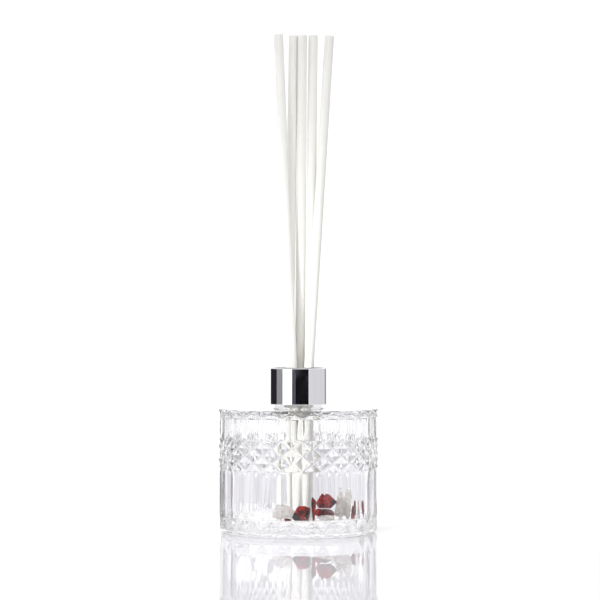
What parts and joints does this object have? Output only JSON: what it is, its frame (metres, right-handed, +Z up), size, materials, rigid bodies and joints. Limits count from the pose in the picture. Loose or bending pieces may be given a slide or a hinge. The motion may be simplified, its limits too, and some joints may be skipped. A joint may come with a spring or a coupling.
{
  "type": "reed diffuser",
  "caption": "Empty cut glass bottle with a chrome screw collar that holds five loose fibre reeds, and a few red and white stone chips on its floor.",
  "frame": {"origin": "centre of the base, on the surface that the bottle stands on", "axes": "+Z up along the bottle and its neck; a ridge of the cut pattern faces -Y"},
  "size_m": [0.083, 0.083, 0.2582],
  "materials": {
    "clear_glass": "clear, polished, pressed and cut pattern",
    "polished_chrome": "mirror polished",
    "liner_plastic": "smooth",
    "seal_foam": "soft closed-cell foam",
    "reed_fibre": "matte spun fibre",
    "red_jasper": "polished, mottled",
    "milky_quartz": "cloudy, part clear"
  },
  "bodies": {
    "bottle": {"glass_bottle": "clear_glass", "jasper_chip_1": "red_jasper", "jasper_chip_2": "red_jasper", "jasper_chip_3": "red_jasper", "jasper_chip_4": "red_jasper", "jasper_chip_5": "red_jasper", "jasper_chip_6": "red_jasper", "jasper_chip_7": "red_jasper", "quartz_chip_1": "milky_quartz", "quartz_chip_2": "milky_quartz", "quartz_chip_3": "milky_quartz", "quartz_chip_4": "milky_quartz"},
    "seal": {"collar_seal": "seal_foam"},
    "collar": {"collar_shell": "polished_chrome", "collar_liner": "liner_plastic"},
    "reed_1": {"reed_1": "reed_fibre"},
    "reed_2": {"reed_2": "reed_fibre"},
    "reed_3": {"reed_3": "reed_fibre"},
    "reed_4": {"reed_4": "reed_fibre"},
    "reed_5": {"reed_5": "reed_fibre"}
  },
  "joints": [
    {"name": "reed_1_pull", "type": "slide", "parent": "bottle", "child": "reed_1", "axis": [-0.0429, -0.0247, 0.9988], "range_m": [0, 0.25]},
    {"name": "reed_2_pull", "type": "slide", "parent": "bottle", "child": "reed_2", "axis": [0.013, -0.0273, 0.9995], "range_m": [0, 0.25]},
    {"name": "reed_3_pull", "type": "slide", "parent": "bottle", "child": "reed_3", "axis": [0.0052, -0.0532, 0.9986], "range_m": [0, 0.25]},
    {"name": "reed_4_pull", "type": "slide", "parent": "bottle", "child": "reed_4", "axis": [0.0104, -0.0234, 0.9997], "range_m": [0, 0.25]},
    {"name": "reed_5_pull", "type": "slide", "parent": "bottle", "child": "reed_5", "axis": [0.0623, 0.0104, 0.998], "range_m": [0, 0.25]},
    {"name": "collar_rise", "type": "slide", "parent": "bottle", "child": "seal", "axis": [0, 0, 1], "range_m": [0, 0.00635]},
    {"name": "collar_turn", "type": "hinge", "parent": "seal", "child": "collar", "pos_m": [0, 0, 0.0757], "axis": [0, 0, 1], "range_deg": [0, 540]}
  ],
  "couplings": [
    {"joint": "collar_rise", "follows": "collar_turn", "m_per_rad": 0.00067376}
  ]
}
